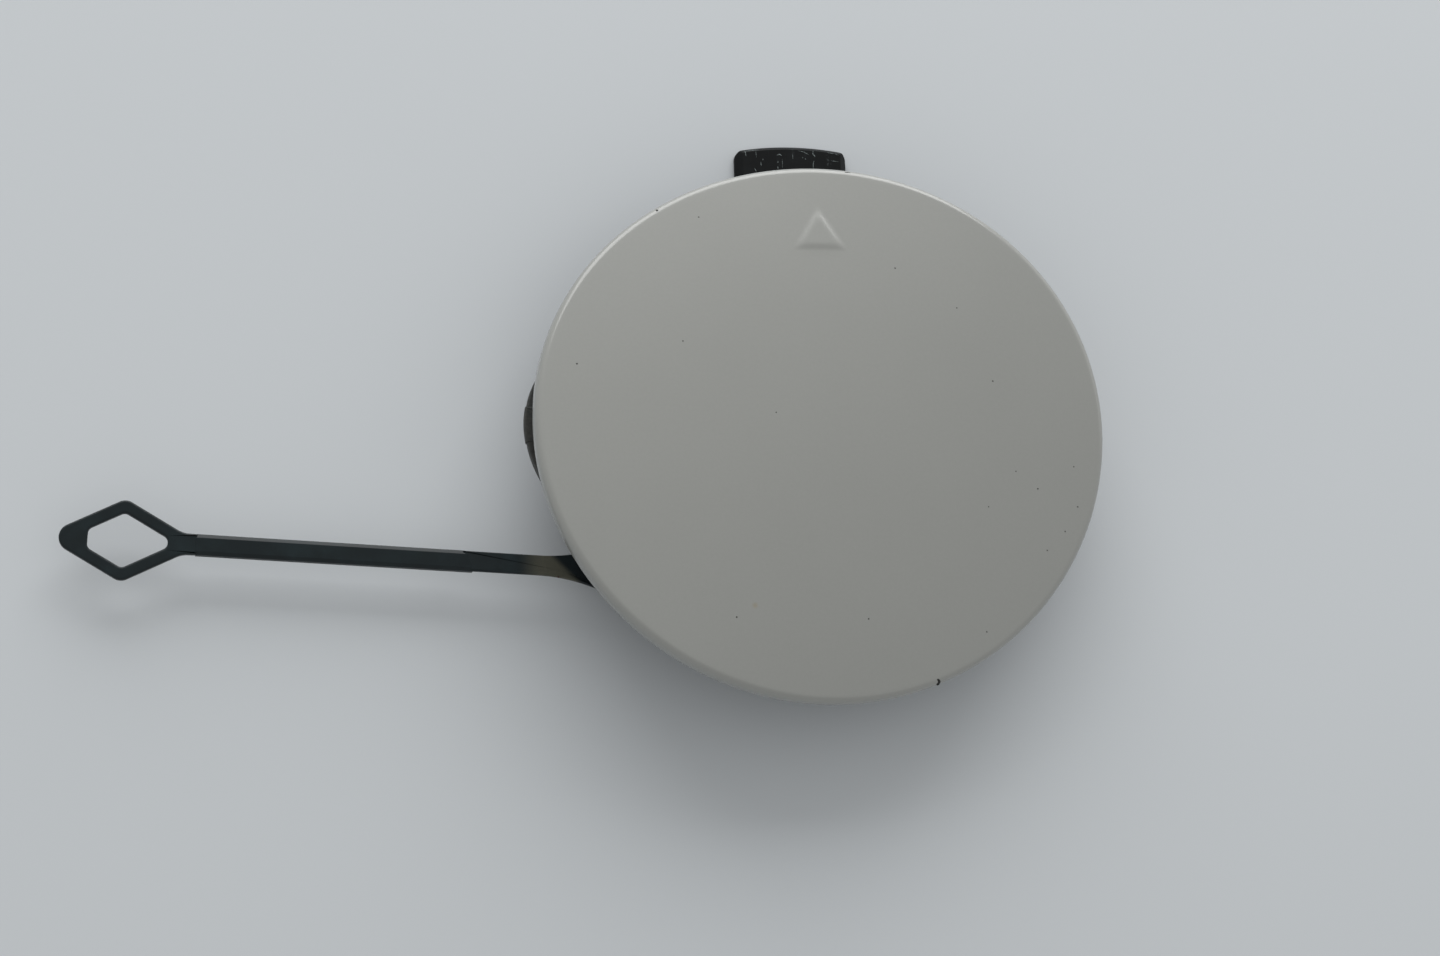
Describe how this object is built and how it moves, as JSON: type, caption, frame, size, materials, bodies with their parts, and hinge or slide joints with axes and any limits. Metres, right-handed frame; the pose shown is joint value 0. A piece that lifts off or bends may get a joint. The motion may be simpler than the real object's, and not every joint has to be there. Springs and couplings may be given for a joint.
{
  "type": "tow hook cover",
  "caption": "Round crowned bumper cap with a raised press triangle, a collar with a tongue and clips behind it, and a moulded strap that ends in a diamond anchor loop.",
  "frame": {"origin": "on the axis of the collar, in the plane of the collar's free end", "axes": "+Z out of the painted face, +Y from the centre towards the press triangle, +X to the right of a viewer of the face who has the triangle at the top"},
  "size_m": [0.1277, 0.0742, 0.015],
  "materials": {
    "black_plastic": "satin moulded",
    "face_paint": "gloss clear coat over warm grey"
  },
  "bodies": {
    "root": {"tow_hook_cover": "black_plastic"}
  },
  "joints": []
}
